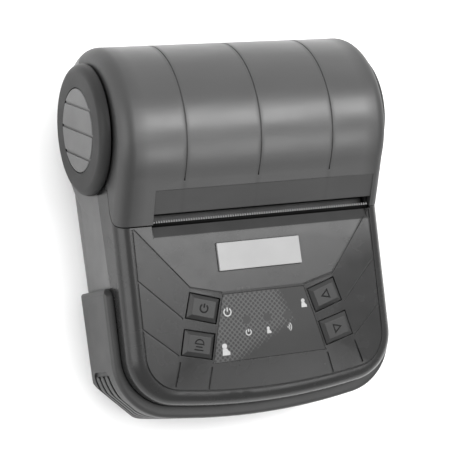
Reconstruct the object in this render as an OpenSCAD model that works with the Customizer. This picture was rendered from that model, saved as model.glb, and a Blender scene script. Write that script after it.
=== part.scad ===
/* [Case] */
// Width of the case across its side walls
case_w = 99; // [97:0.5:101]
// Wall of the moulded shells
wall = 2; // [1.8:0.1:2.2]
// Rounding of the rim round the control panel
rim_r = 5; // [4.6:0.1:5.3]
// Corner radius of the nose, seen from above
corner_r = 17; // [15:0.5:19]
// Radius of the nose's gentle crown
crown_r = 229.5; // [220:0.5:260]
// Length of the panel side from the tear edge to the nose
nose_len = 63.3; // [62.5:0.1:64.5]
// Rounding of the lower edges
base_r = 8; // [7:0.5:9]
// Inward draft of the side walls at the base
base_draft = 0.9; // [0.6:0.1:1.2]
// Height of the battery's and the boards' shared floor
floor_t = 3; // [2.6:0.1:3.2]

/* [Panel] */
// Slope of the control panel down to the nose, in degrees
panel_tilt = 5; // [4.5:0.1:5.5]
// Height of the raised field round the keys
crown_h = 1.3; // [1.1:0.1:1.5]
// Width of the engraved panel lines
groove_w = 0.6; // [0.4:0.1:0.8]
// Depth of the engraved panel lines
groove_d = 0.35; // [0.2:0.05:0.5]

/* [Roll lid] */
// Outer radius of the lid over the paper roll
lid_r = 30; // [29.8:0.1:30.4]
// How far the roll's axis lies behind the tear edge
roll_back = 31; // [30.5:0.1:31.5]
// How far the roll's axis lies below the tear edge
roll_drop = 17; // [16.5:0.1:17.5]
// Rounding of the lid's end edges
lid_edge_r = 5; // [4.5:0.25:5.5]
// Radius of the paper bay
bay_r = 26.5; // [26:0.1:26.8]
// Gap at the lid's seams
seam = 0.35; // [0.25:0.05:0.45]
// Radius of the hinge barrels
barrel_r = 2.4; // [2.3:0.05:2.6]
// Radius of the hinge pins
pin_r = 1; // [0.8:0.05:1.2]

/* [Paper path] */
// Left end of the paper slot
slot_left = -37; // [-37.4:0.1:-36.8]
// Right end of the paper slot
slot_right = 45; // [44.8:0.1:45.2]
// Radius of the rubber platen roller
platen_r = 5; // [4.9:0.05:5]
// Radius of the platen shaft
shaft_r = 2; // [1.8:0.1:2.2]
// Tooth pitch of the tear bar
tear_pitch = 0.9; // [0.8:0.1:1.2]
// Thickness of the tear bar
tear_t = 0.5; // [0.4:0.1:0.6]

/* [Gears] */
// Tooth size of the paper drive
gear_module = 0.5; // [0.49:0.01:0.51]
// Width of the gears
gear_t = 2; // [1.6:0.1:2.2]
// Play between meshing teeth
backlash = 0.12; // [0.08:0.01:0.14]

/* [Hubs] */
// Radius of the hub discs
hub_r = 22.2; // [21.8:0.1:22.4]
// Rounding of the hub's outer edge
hub_edge_r = 2.8; // [2.4:0.1:3]
// Radius of the release buttons
pad_r = 14.1; // [13.6:0.1:14.4]
// Travel of the release buttons
pad_travel = 1.2; // [1:0.1:1.3]

/* [Keys] */
// Width of a key's bezel
bezel_w = 11.4; // [11:0.1:11.8]
// Depth of a key's bezel
bezel_d = 8.9; // [8.6:0.1:9.2]
// Travel of a key
key_travel = 0.4; // [0.3:0.05:0.5]

/* [Bumper] */
// Thickness of the grip bumper
bumper_t = 3.2; // [2.8:0.1:3.4]
// How much thicker the bumper is round the nose
bumper_ahead = 0.6; // [0.3:0.1:0.9]
// Slope of the bumper's upper edge, in degrees
bumper_tilt = 2.7; // [2.5:0.1:3]
// Number of grip ribs
grip_count = 3; // [2:1:3]

/* [Power] */
// Radius of a battery cell
cell_r = 9; // [8.8:0.05:9.1]
// Length of a battery cell
cell_l = 67; // [65:0.5:68]

/* [Hidden] */
$fn = 96;
eps = 0.01;

half_w = case_w / 2;
tilt_c = cos(panel_tilt);
tilt_s = sin(panel_tilt);
// The roll's axis stands one lid radius over the base, which sets the tear edge's height
roll_z = lid_r;
tear_z = roll_z - roll_back * tilt_s + roll_drop * tilt_c;
part_z = roll_z;
hinge_in = 1.6;
bumper_top = -11;
bumper_edge_r = 1.5;
bumper_nose = nose_len + bumper_t + bumper_ahead;
nose_reach = bumper_nose * cos(bumper_tilt) + (bumper_top - bumper_edge_r) * sin(bumper_tilt);
roll_reach = roll_back * tilt_c + roll_drop * tilt_s;
back_reach = roll_reach + lid_r - hinge_in + barrel_r;
tear_y = (nose_reach - back_reach) / 2;
roll_y = tear_y + roll_reach;
hinge_y = roll_y + lid_r - hinge_in;
hinge_z = roll_z - 1.8;

// Plan of the nose: two corner arcs that run into one wide crown arc
corner_x = half_w - corner_r;
crown_v = crown_r - nose_len;
crown_d = sqrt(pow(crown_r - corner_r, 2) - pow(corner_x, 2));
corner_v = crown_v - crown_d;
// Way from a corner's centre out over the point where its arc runs into the crown
join_way = 0.2 * [corner_x, -crown_d];

// The nose's foot arc is a little wider and springs from a plane this far in front of the crown
nose_foot_r = base_r + 1;
nose_clear = 0.3;

// Side arms of the upper case, which end under the hubs
arm_y = 22;
seam_r = 7;
seam_v = -1.3;

// Lid's front: a plane from the seam up to the round lid, which it meets with a faint edge
front_r = lid_r - 0.3;
front_d = sqrt(pow(roll_back - seam_v, 2) + pow(roll_drop, 2));
front_a = asin(front_r / front_d) - atan(roll_drop / (roll_back - seam_v));
front_l = sqrt(pow(front_d, 2) - pow(front_r, 2));

// Steps of the arcs that round the moulded edges
arc_steps = 9;

bumper_gap = 0.12;
bumper_foot = 4;
bumper_foot_r = 7;
bumper_lean = 1;
bumper_corner_lean = 6;
bumper_end = -18.7;
bumper_end_r = 4;
bumper_tip_r = 2.9;
grip_top = -17.4;
grip_pitch = 4.2;
grip_w = 1.5;
grip_end = -46;
grip_end_r = 2.5;
grip_depth = 0.7;

bay_wall = 1.8;
bay_left = slot_left;
bay_right = slot_right;
plate_t = 1.2;
left_plate = bay_left - 0.2 - plate_t;
right_plate = bay_right + 0.2;

// Points of the paper drive in the panel's frame: distance back, height over the panel
platen_at = [7.5, -6.5];
motor_at = [-12.5, -15.2];
motor_r = 8;
motor_l = 15;
platen_teeth = 22;
upper_teeth = 18;
lower_teeth = 22;
pinion_teeth = 12;
function mesh_d(a, b) = gear_module * (a + b) / 2;
hinge_at = [
    (hinge_y - tear_y) * tilt_c + (hinge_z - tear_z) * tilt_s,
    (hinge_z - tear_z) * tilt_c - (hinge_y - tear_y) * tilt_s
];
// The upper idler stands right under the platen's path, so the lid lifts its gear straight out of mesh
lift_a = atan2(platen_at.y - hinge_at.y, platen_at.x - hinge_at.x) + 90;
upper_at = platen_at + mesh_d(platen_teeth, upper_teeth) * [cos(lift_a), sin(lift_a)];
drive_v = motor_at - upper_at;
drive_d = norm(drive_v);
upper_arm = mesh_d(upper_teeth, lower_teeth);
lower_arm = mesh_d(lower_teeth, pinion_teeth);
drive_k = (pow(upper_arm, 2) - pow(lower_arm, 2) + pow(drive_d, 2)) / (2 * drive_d);
drive_h = sqrt(max(0, pow(upper_arm, 2) - pow(drive_k, 2)));
lower_at = upper_at + drive_k * drive_v / drive_d + drive_h * [-drive_v.y, drive_v.x] / drive_d;

function bearing(a, b) = atan2(b.y - a.y, b.x - a.x);
// Turn of a gear so that its teeth stand in the gaps of the one that it meshes with
function mesh_turn(from, from_teeth, from_turn, to, to_teeth) =
    bearing(to, from) - 360 / to_teeth
    * (0.5 - from_teeth * (bearing(from, to) - from_turn) / 360);
platen_turn = 0;
upper_turn = mesh_turn(platen_at, platen_teeth, platen_turn, upper_at, upper_teeth);
lower_turn = mesh_turn(upper_at, upper_teeth, upper_turn, lower_at, lower_teeth);
pinion_turn = mesh_turn(lower_at, lower_teeth, lower_turn, motor_at, pinion_teeth);

gear_x = left_plate - 2.1 - gear_t;
bush_r = 3.5;
run = 0.05;

// Panel surface: the lowest of four gently sloping planes and the raised field
mid_slope = 0.052;
side_slope = 0.0669;
foot_slope = 0.108;
panel_half = half_w - rim_r + 0.1;
panel_foot = -(nose_len - rim_r);
function panel_n(x, v) = min(
    -mid_slope * v, side_slope * (panel_half - abs(x)), foot_slope * (v - panel_foot), crown_h
);

// Keys: place on the panel and turn, left side
key_upper = [-22.9, -29.8, -16.5];
key_lower = [-25.9, -41.5, -14];
key_floor = -0.2;
key_base = key_floor + key_travel + 0.15;
board_n = -7;
board_t = 1.2;
switch_top = -2.9;

hub_y = roll_y + 2.6;
hub_z = roll_z + 0.7;
hub_in = half_w + 0.8;
hub_out = half_w + 4.1;
hub_floor = 0.6;
pad_t = 1.5;
groove_turn = -69.4;
groove_pitch = 8.3;
pad_clear = 0.25;
stem_r = 1.6;
pocket_r = 3.4;
pocket_x = half_w - 2.8;
spring_z = hub_z - 8.5;

battery_front = -49.2;
cell_space = 0.4;
battery_back = battery_front + 4 * cell_r + cell_space;
cell_gap = 0.4;
ledge = 1.2;
door_front = battery_front - cell_gap - ledge;
door_back = battery_back + 8;
door_half = cell_l / 2 + cell_gap + ledge;
door_gap = 0.3;
door_screw_at = [20, battery_back + 4.4];

case_screw_at = [[42, -49], [43.6, -24]];
frame_post_at = [[-20, -3], [30, -3]];
socket_y = -13;
main_board_z = floor_t + 2 * cell_r + 3;

grey_case = "#55565a";
grey_dark = "#3a3b3f";
black = "#1e1e21";
steel = "#b9bcc0";
brass = "#b8973a";

// Frame of the sloping panel: x across, y up the panel, z out of it, tear edge at zero
module on_panel() {
    translate([0, tear_y, tear_z]) rotate([panel_tilt, 0, 0]) children();
}

// Lays a (y, z) outline along X
module along_x(x0, x1) {
    translate([x0, 0, 0]) rotate([90, 0, 90]) linear_extrude(x1 - x0) children();
}

// Lays an (x, z) outline along Y
module along_y(y0, y1) {
    translate([0, y1, 0]) rotate([90, 0, 0]) linear_extrude(y1 - y0) children();
}

// Turns an outline of (radius, x) about the roll's axis
module about_roll() {
    translate([0, roll_y, roll_z]) rotate([0, 90, 0]) rotate_extrude() children();
}

// Case outline seen square to the panel, drawn in by inset, open to the back
module plan(inset, back) {
    for (side = [-1, 1]) translate([side * corner_x, corner_v]) circle(corner_r - inset);
    intersection() {
        translate([0, crown_v]) circle(crown_r - inset, $fn = 720);
        crown_span();
    }
    translate([-(half_w - inset), corner_v])
        square([2 * (half_w - inset), back - corner_v]);
}

// The part of the outline that the crown arc bounds
module crown_span() {
    polygon([
        [-corner_x, corner_v], [-corner_x - join_way.x, corner_v + join_way.y],
        [corner_x + join_way.x, corner_v + join_way.y], [corner_x, corner_v]
    ]);
}

// Slab with the case's outline and a round upper edge: straight body, two corners and the crown
module round_slab(inset, round, back, top, bottom) {
    h = half_w - inset;
    deep = top - bottom;
    translate([0, 0, top]) along_y(corner_v, back) {
        translate([-h, -deep]) square([2 * h, deep - round]);
        translate([round - h, -deep]) square([2 * (h - round), deep]);
        for (side = [-1, 1]) translate([side * (h - round), -round]) circle(round);
    }
    for (side = [0, 1]) mirror([side, 0, 0]) intersection() {
        translate([corner_x, corner_v, top]) rotate([0, 0, 180]) rotate_extrude()
            edge_section(0, corner_r - inset, round, deep);
        translate([0, 0, bottom - 1]) linear_extrude(deep + 2) polygon([
            [corner_x, corner_v], [corner_x, corner_v] + join_way,
            [corner_x - join_way.y, corner_v + join_way.y], [corner_x - join_way.y, corner_v]
        ]);
    }
    intersection() {
        translate([0, crown_v, top]) rotate_extrude($fn = 720)
            edge_section(crown_d - 3, crown_r - inset, round, deep);
        translate([0, 0, bottom - 1]) linear_extrude(deep + 2) crown_span();
    }
}

// Section from x0 to x1 under zero height, its upper outer corner round
module edge_section(x0, x1, round, deep) {
    translate([x0, -deep]) square([x1 - x0, deep - round]);
    translate([x0, -deep]) square([x1 - round - x0, deep]);
    translate([x1 - round, -round]) circle(round, $fn = 96);
}

// Points from a to b of the arc that rounds corner c and touches its sides there
function corner_arc(c, a, b) =
    let (
        m = (a + b) / 2,
        centre = c + (m - c) * pow(norm(a - c) / norm(m - c), 2),
        r = norm(a - centre),
        from = atan2(a.y - centre.y, a.x - centre.x),
        turn = atan2(b.y - centre.y, b.x - centre.x) - from,
        sweep = turn > 180 ? turn - 360 : turn < -180 ? turn + 360 : turn
    )
    [for (i = [0 : arc_steps]) let (w = from + sweep * i / arc_steps) centre + r * [cos(w), sin(w)]];

// Foot of a wall that leans by lean degrees and runs into the base by an arc, for x > 0
function foot_points(wall_x, lean, r, base, top, head) =
    let (
        corner = [wall_x - (top - base) * tan(lean), base],
        reach = r * tan(45 + lean / 2)
    )
    [
        each corner_arc(corner, corner - [reach, 0], corner + reach * [sin(lean), cos(lean)]),
        [wall_x + head * tan(lean), top + head]
    ];

module foot_outline(wall_x, lean, r, base, top, head = 0) {
    polygon([
        [0, base], each foot_points(wall_x, lean, r, base, top, head), [0, top + head]
    ]);
}

// The same foot on both sides
module foot_section(wall_x, lean, r, base, top, head = 0) {
    right = foot_points(wall_x, lean, r, base, top, head);
    polygon([
        each right, for (i = [len(right) - 1 : -1 : 0]) [-right[i].x, right[i].y]
    ]);
}

// Foot of the wall that runs across one corner of the nose, wall_x from the corner's centre
module corner_foot(side, corner_y, wall_x, lean, r, base, head) {
    way = 200;
    translate([side * corner_x, corner_y, 0]) rotate([0, 0, 45 * side - 90])
        along_y(-way, way) translate([-way, 0])
            foot_outline(way + wall_x, lean, r, base, part_z, head);
}

// Outer form of the lower case, drawn in by inset and made higher by head
module lower_form(inset, head = 0) {
    top = part_z;
    lean = atan(base_draft / part_z);
    nose_y = tear_y - nose_len * tilt_c - nose_clear
        - (top - tear_z + nose_len * tilt_s) * tan(panel_tilt);
    corner_y = tear_y + corner_v / tilt_c + (tear_z - part_z) * tan(panel_tilt);
    corner_lean = atan(tan(panel_tilt) * cos(45));
    wall_x = corner_r + 0.15 - inset;
    intersection() {
        on_panel() translate([0, 0, -60]) linear_extrude(60 + head) plan(inset, 60);
        along_y(-80, roll_y)
            foot_section(half_w - inset, lean, base_r - inset, inset, top, head);
        along_x(-60, 60) translate([roll_y, 0]) mirror([1, 0])
            foot_outline(roll_y - nose_y - inset, panel_tilt, nose_foot_r - inset, inset, top, head);
        corner_foot(-1, corner_y, wall_x, corner_lean, base_r + 0.5 - inset, inset, head);
        corner_foot(1, corner_y, wall_x, corner_lean, base_r + 0.5 - inset, inset, head);
    }
    intersection() {
        roll_form(inset, lid_edge_r - inset);
        translate([-60, 0, 0]) cube([120, 80, top]);
    }
}

// The roll's drum with round end edges, drawn in by inset
module roll_form(inset, round) {
    r = lid_r - inset;
    h = half_w - inset;
    about_roll() {
        translate([0, -h]) square([r - round, 2 * h]);
        translate([0, round - h]) square([r, 2 * (h - round)]);
        for (side = [-1, 1]) translate([r - round, side * (h - round)]) circle(round);
    }
}

module drum(r, x0, x1) {
    translate([x0, roll_y, roll_z]) rotate([0, 90, 0]) cylinder(r = r, h = x1 - x0);
}

module hinge_bar(r, x0, x1) {
    translate([x0, hinge_y, hinge_z]) rotate([0, 90, 0]) cylinder(r = r, h = x1 - x0);
}

module both_sides() {
    children();
    mirror([1, 0, 0]) children();
}

// Hinge stations along X: the lid's barrels, with the case's barrels on both sides of each
lid_barrel = [24, 34];
case_barrel = [18, 40];
barrel_gap = 0.3;

module lower_case() color(grey_case) difference() {
    union() {
        difference() {
            lower_form(0);
            lower_hollow();
        }
        intersection() {
            lower_form(eps);
            lower_fittings();
        }
        both_sides() hinge_bar(barrel_r, case_barrel[0], case_barrel[1]);
    }
    // Hinge gaps, pin bores and the back edge's chamfer
    both_sides() {
        hinge_bar(barrel_r + 0.4, lid_barrel[0] - barrel_gap, lid_barrel[1] + barrel_gap);
        translate([lid_barrel[0] - barrel_gap, hinge_y - barrel_r - 0.4, hinge_z])
            cube([lid_barrel[1] - lid_barrel[0] + 2 * barrel_gap, 10, 10]);
        hinge_bar(pin_r + run, case_barrel[0] - eps, case_barrel[1] - 1.5);
    }
    along_x(-60, 60) polygon([
        [roll_y + lid_r - 0.7, part_z + eps], [roll_y + lid_r + 2, part_z + eps],
        [roll_y + lid_r + 2, part_z - 2.2], [roll_y + lid_r + 0.05, part_z - 0.7]
    ]);
    // Battery opening with a step for the door
    battery_room(-1);
    translate([-door_half, door_front, -1])
        cube([2 * door_half, door_back - door_front, wall + 1]);
    both_sides() translate([door_screw_at.x, door_screw_at.y, -1])
        cylinder(r = door_screw_r, h = 7.5);
    for (at = case_screw_at) both_sides() {
        translate([at.x, at.y, -1]) cylinder(r = 2.9, h = 5.5);
        translate([at.x, at.y, -1]) cylinder(r = case_screw_r + 0.2, h = part_z + 2);
    }
    frame_post_places() translate([0, 0, -8]) cylinder(r = 0.9, h = 9);
    // Socket opening in the right wall
    translate([half_w - 5, socket_y - 4.8, main_board_z + board_t - 0.2])
        cube([10, 9.6, 3.8]);
    // Spring pockets and peg holes of the hubs
    both_sides() {
        translate([pocket_x, hub_y, spring_z]) rotate([0, 90, 0])
            cylinder(r = pocket_r, h = 10);
        for (peg = [-1, 1]) translate([half_w - 1.5, hub_y + peg * 11, hub_z - 12])
            rotate([0, 90, 0]) cylinder(r = 1.5 + run, h = 10);
    }
    // Room for the print frame's side plates and the motor beside the bay
    for (x0 = [left_plate - 0.3, right_plate - 0.3])
        translate([x0, -20, 21]) cube([plate_t + 0.6, 36, 20]);
}

module lower_hollow() {
    difference() {
        intersection() {
            lower_form(wall);
            translate([-60, -80, 0]) cube([120, 80 + 20, 60]);
        }
        drum(bay_r + bay_wall, bay_left - bay_wall, half_w);
    }
    intersection() {
        lower_form(wall);
        translate([-60, -80, 0]) cube([60 + bay_left - 1.5, 160, 60]);
    }
    drum(bay_r, bay_left, bay_right);
}

// Ribs, bosses and posts that stand in the lower case
module lower_fittings() {
    rib = 1.2;
    difference() {
        translate([-door_half, battery_front - cell_gap - rib, 0])
            cube([2 * door_half, battery_back - battery_front + 2 * (cell_gap + rib), floor_t + 15]);
        battery_room(-1);
    }
    translate([-door_half - 1.5, door_front - 1.5, 0])
        cube([2 * door_half + 3, door_back - door_front + 3, floor_t]);
    both_sides() translate([door_screw_at.x, door_screw_at.y, 0]) cylinder(r = 2.8, h = 8);
    for (at = case_screw_at) both_sides() translate([at.x, at.y, 0])
        cylinder(r = 3.2, h = part_z);
    frame_post_places() translate([0, 0, -30]) cylinder(r = 3, h = 30);
    translate([pocket_x - 1, hub_y, spring_z]) rotate([0, 90, 0])
        cylinder(r = pocket_r + 1.2, h = 3);
    mirror([1, 0, 0]) translate([pocket_x - 1.2, hub_y, spring_z]) rotate([0, 90, 0])
        cylinder(r = pocket_r + 1.2, h = 3);
    for (at = board_post_at) translate([at.x, at.y, 0]) cylinder(r = 2, h = main_board_z);
}

// Space of the two cells, open through the base
module battery_room(z0) {
    translate([-cell_l / 2 - cell_gap, battery_front - cell_gap, z0])
        cube([cell_l + 2 * cell_gap, battery_back - battery_front + 2 * cell_gap, 60]);
}

board_post_at = [[-12, -52.4], [35, -52.4], [-12, -10], [35, -10]];
door_screw_r = 0.9;
case_screw_r = 1.2;
case_screw_top = part_z + 6;

frame_floor = -22;
module frame_post_places() {
    on_panel() for (at = frame_post_at) translate([at.x, at.y, frame_floor]) children();
}

// Part of the view from the side that lies over the seam between lid and case
module seam_side(gap) {
    translate([seam_v + seam_r, -rim_r - 0.8 + seam_r]) circle(seam_r - gap);
    translate([seam_v + seam_r, -rim_r - 0.8 + gap]) square([80, 60]);
    translate([seam_v + gap, -rim_r - 0.8 + seam_r]) square([80, 60]);
}

module upper_case() color(grey_case) difference() {
    intersection() {
        union() {
            difference() {
                on_panel() union() {
                    round_slab(0, rim_r, 40, 0, -20);
                    panel_field();
                }
                on_panel() round_slab(wall, rim_r - wall, 50, -wall, -21);
            }
            upper_fittings();
        }
        translate([-60, -80, part_z]) cube([120, 80 + arm_y, 40]);
    }
    on_panel() {
        // The seam under the lid and the paper slot's sloping lip
        along_x(-60, 60) seam_side(0);
        along_x(slot_left - 0.5, slot_right - 1.5) polygon([
            [-5.6, 0.3], [-1.8, -0.9], [seam_v + 1, -1.1], [seam_v + 1, 4], [-5.6, 4]
        ]);
        along_x(slot_left - 0.5, slot_right + 0.3) polygon([
            [-1.6, -4], [-8, -4], [-7, -1.7], [-1.6, -1.6], [-1.6, 2], [2, 2], [2, -4]
        ]);
        panel_lines();
        badge_place() translate([-badge_w / 2, -badge_d / 2, -0.3])
            cube([badge_w, badge_d, 3]);
        window_recess(0, 0.05);
        each_key() {
            key_box(bezel_w, bezel_d, key_floor, 3);
            translate([0, 0, -4]) cylinder(r = 1.5 + 0.1, h = 6);
        }
        for (x = lamp_x) translate([x, lamp_v, -4]) cylinder(r = 1.6, h = 8);
    }
    for (at = case_screw_at) both_sides()
        translate([at.x, at.y, part_z - 1]) cylinder(r = case_screw_r, h = 7.2);
    translate([half_w - 5, socket_y - 4.8, main_board_z + board_t - 0.2])
        cube([10, 9.6, 3.8]);
}

// Bosses under the panel for the case screws and the key board
module upper_fittings() {
    intersection() {
        on_panel() translate([-60, -80, -40]) cube([120, 120, 40 - wall / 2]);
        for (at = case_screw_at) both_sides()
            translate([at.x, at.y, part_z]) cylinder(r = 3, h = 20);
    }
    on_panel() for (x = [-31, 31], v = [-25.5, -49.5])
        translate([x, v, board_n + board_t])
        cylinder(r = 2, h = -wall / 2 - board_n - board_t);
}

// Raised field of the panel, its facets falling to the rim
module panel_field() {
    deep = -1.5;
    intersection() {
        translate([0, 0, deep]) linear_extrude(10) plan(rim_r + 0.1, 1);
        along_x(-60, 60) polygon([
            [1, deep], [1, -mid_slope], [-crown_h / mid_slope, crown_h],
            [panel_foot + crown_h / foot_slope, crown_h], [panel_foot - 1, -foot_slope],
            [panel_foot - 1, deep]
        ]);
        along_y(-80, 20) polygon([
            [-panel_half - 1, deep], [-panel_half - 1, -side_slope],
            [crown_h / side_slope - panel_half, crown_h],
            [panel_half - crown_h / side_slope, crown_h],
            [panel_half + 1, -side_slope], [panel_half + 1, deep]
        ]);
    }
}

// Engraved line between two points of the panel
module panel_line(a, b) {
    p = [a.x, a.y, panel_n(a.x, a.y)];
    q = [b.x, b.y, panel_n(b.x, b.y)];
    d = q - p;
    flat = norm([d.x, d.y]);
    translate(p) rotate([0, 0, atan2(d.y, d.x)]) rotate([0, -atan2(d.z, flat), 0])
        translate([0, -groove_w / 2, -groove_d]) cube([norm(d), groove_w, 2]);
}

line_top = [44.1, -1.9];
line_bend = [26.8, -22.6];
line_end = [15.4, -25.4];
module panel_lines() {
    both_sides() {
        panel_line(line_top, line_bend);
        panel_line(line_bend, line_end);
        panel_line([panel_half, -18.6], [30.4, -32.6]);
        panel_line([panel_half, -34.5], [33.2, -44.5]);
        panel_line([32.8, -46.5], [35.3, -54.4]);
        panel_line([21.7, -49.4], [23.5, panel_foot + 1.7]);
    }
    // Line round the panel's edge
    difference() {
        translate([0, 0, -groove_d]) linear_extrude(3) plan(rim_r - groove_w / 2, line_top.y);
        translate([0, 0, -groove_d - 1]) linear_extrude(5) plan(rim_r + groove_w / 2, 10);
    }
}

badge_w = 31;
badge_d = 9.5;
badge_v = -13.5;
module badge_place() {
    translate([0, badge_v, -mid_slope * badge_v]) rotate([-atan(mid_slope), 0, 0]) children();
}

module badge_plate() color("#d8d9da") on_panel() badge_place()
    translate([0, 0, -0.3]) linear_extrude(1.1) square([badge_w - 0.2, badge_d - 0.2], center = true);

window_top = [15.2, -26];
window_foot = [21.3, -48.4];
window_n = 0.6;
module window_outline(grow) {
    polygon([
        [-window_top.x - grow, window_top.y + grow], [window_top.x + grow, window_top.y + grow],
        [window_foot.x + grow, window_foot.y - grow], [-window_foot.x - grow, window_foot.y - grow]
    ]);
}

module window_recess(deeper, grow) {
    difference() {
        translate([0, 0, window_n - deeper]) linear_extrude(4) window_outline(grow);
        each_key() key_box(bezel_w + 1.2, bezel_d + 1.2, -5, 10);
    }
}

module control_window() color("#5a5c60", 0.9) on_panel() intersection() {
    difference() {
        translate([0, 0, window_n]) linear_extrude(2) window_outline(-0.05);
        each_key() key_box(bezel_w + 1.4, bezel_d + 1.4, -5, 10);
    }
    panel_field();
}

// Runs its children at the four key places, upright on the panel
module each_key() {
    both_sides() {
        key_place(key_upper) children();
        key_place(key_lower) children();
    }
}

module key_place(k) {
    translate([k.x, k.y, 0]) rotate([0, 0, k.z]) children();
}

module key_box(w, d, n0, n1) {
    translate([-w / 2, -d / 2, n0]) cube([w, d, n1 - n0]);
}

// Key cap: straight foot, four bevels to a smaller flat top, and a round stem
module key_cap() {
    w = bezel_w - 0.7;
    d = bezel_d - 0.7;
    bevel = 1.35;
    shoulder = 1.1;
    top = 2.1;
    intersection() {
        along_x(-w / 2, w / 2) cap_side(d, bevel, shoulder, top);
        along_y(-d / 2, d / 2) cap_side(w, bevel, shoulder, top);
    }
    translate([0, 0, switch_top + key_travel + 0.1])
        cylinder(r = 1.5, h = key_base - switch_top);
}

module cap_side(w, bevel, shoulder, top) {
    polygon([
        [-w / 2, key_base], [w / 2, key_base], [w / 2, shoulder],
        [w / 2 - bevel, top], [bevel - w / 2, top], [-w / 2, shoulder]
    ]);
}

module key_power() color(grey_dark) on_panel() key_place(key_upper) key_cap();
module key_feed() color(grey_dark) on_panel() key_place(key_lower) key_cap();
module key_back() color(grey_dark) on_panel() mirror([1, 0, 0]) key_place(key_upper) key_cap();
module key_forward() color(grey_dark) on_panel() mirror([1, 0, 0]) key_place(key_lower) key_cap();

module key_board() color("#2f5d3a") on_panel() difference() {
    translate([-35, -52, board_n]) cube([70, 30, board_t]);
    for (x = [-31, 31], v = [-25.5, -49.5]) translate([x, v, board_n - 1])
        cylinder(r = 0.9, h = 4);
}

module key_switches() color(black) on_panel() each_key() {
    key_box(6, 6, board_n + board_t, switch_top - 0.8);
    translate([0, 0, switch_top - 0.9]) cylinder(r = 1.6, h = 0.9);
}

lamp_x = [-7.4, 0.2, 7.8];
lamp_v = -35.2;
module indicator_lamps() color("#e8e8e0") on_panel() for (x = lamp_x)
    translate([x, lamp_v, board_n + board_t]) cylinder(r = 1.5, h = window_n - board_n - board_t);

// Puts its children in the bumper's frame, whose upper edge slopes less than the panel
module on_bumper() {
    translate([0, tear_y, tear_z]) rotate([bumper_tilt, 0, 0])
        translate([0, -bumper_ahead, 0]) children();
}

module front_bumper() color(grey_dark) difference() {
    wall_tan = tan(bumper_tilt);
    wall_y = bumper_nose / cos(bumper_tilt) - (tear_z - part_z) * wall_tan - tear_y;
    intersection() {
        on_bumper() round_slab(-bumper_t, bumper_edge_r, -10, bumper_top, -50);
        along_y(-80, 0)
            foot_section(half_w + bumper_t + 0.4, bumper_lean, bumper_foot_r, bumper_foot, part_z, 20);
        along_x(-60, 60) mirror([1, 0])
            foot_outline(wall_y + nose_clear, bumper_tilt, bumper_foot_r, bumper_foot, part_z, 20);
        bumper_corner(-1, 0);
        bumper_corner(1, 0);
        bumper_ends();
        bumper_tips();
    }
    lower_form(-bumper_gap, 10);
    grip_grooves();
}

// The bumper leans in at its corners, here drawn in by inset
module bumper_corner(side, inset) {
    corner_y = tear_y + (corner_v - bumper_ahead) / cos(bumper_tilt)
        + (tear_z - part_z) * tan(bumper_tilt);
    corner_foot(side, corner_y, corner_r + bumper_t + 0.15 - inset, bumper_corner_lean,
        bumper_foot_r - inset, bumper_foot, 20);
}

// Side view of the bumper's two ends, with round upper corners
module bumper_ends() {
    on_bumper() along_x(-60, 60) {
        translate([-90, -60]) square([90 + bumper_end - bumper_end_r, 70]);
        translate([-90, -60]) square([90 + bumper_end, 60 + bumper_top - bumper_end_r]);
        translate([bumper_end - bumper_end_r, bumper_top - bumper_end_r]) circle(bumper_end_r);
    }
}

// The bumper's two ends seen from above, with round outer corners
module bumper_tips() {
    h = half_w + bumper_t - bumper_tip_r;
    on_bumper() translate([0, 0, -60]) linear_extrude(60) {
        translate([-h - 5, -90]) square([2 * h + 10, 90 + bumper_end - bumper_tip_r]);
        translate([-h, -90]) square([2 * h, 90 + bumper_end]);
        for (side = [-1, 1]) translate([side * h, bumper_end - bumper_tip_r])
            circle(bumper_tip_r + 0.12);
    }
}

// Recessed band round the nose, with the grip ribs left standing in it
module grip_grooves() difference() {
    deep = grip_pitch * grip_count;
    on_bumper() along_x(-60, 60) difference() {
        grip_bar(grip_end, grip_top + grip_w / 2, deep + grip_w, grip_end_r);
        for (i = [0 : grip_count - 1])
            grip_bar(grip_end - grip_w, grip_top - grip_w / 2 - grip_pitch * i, grip_pitch - grip_w,
                (grip_pitch - grip_w) / 2 - 0.05);
    }
    intersection() {
        on_bumper() translate([0, 0, -60]) linear_extrude(70) plan(grip_depth - bumper_t, 0);
        bumper_corner(-1, grip_depth);
        bumper_corner(1, grip_depth);
    }
}

// Bar of height h under top whose end has corners of radius r
module grip_bar(end, top, h, r) {
    translate([-90, top - h]) square([90 + end - r, h]);
    translate([-90, top - h + r]) square([90 + end, h - 2 * r]);
    for (v = [top - h + r, top - r]) translate([end - r, v]) circle(r);
}

module lid() color("#4b4d50", 0.92) difference() {
    union() {
        intersection() {
            difference() {
                union() {
                    roll_form(0, lid_edge_r);
                    lid_front(0);
                }
                lid_hollow();
                both_sides() hinge_bar(barrel_r + 0.35, case_barrel[0] - 0.4, case_barrel[1] + 0.4);
            }
            lid_limits();
        }
        both_sides() intersection() {
            union() {
                hinge_bar(barrel_r, lid_barrel[0], lid_barrel[1]);
                translate([lid_barrel[0], hinge_y - 0.4, hinge_z])
                    cube([lid_barrel[1] - lid_barrel[0], 2, 4]);
            }
            translate([0, hinge_y - 4, 0]) cube([60, 8, 60]);
        }
    }
    hinge_bar(pin_r + run, -50, 50);
    // Paper slot and the shallow exit band over it
    on_panel() along_x(slot_left, slot_right) {
        translate([-5, -6]) square([7.5, 20]);
        polygon([[2, 1.2], [9.9, 5.4], [9.9, 8], [2, 8]]);
    }
    for (x = [-27, 0, 27]) translate([x, roll_y, roll_z]) rotate([0, 90, 0])
        rotate_extrude() translate([lid_r, 0]) square([0.5, 0.4], center = true);
}

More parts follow.
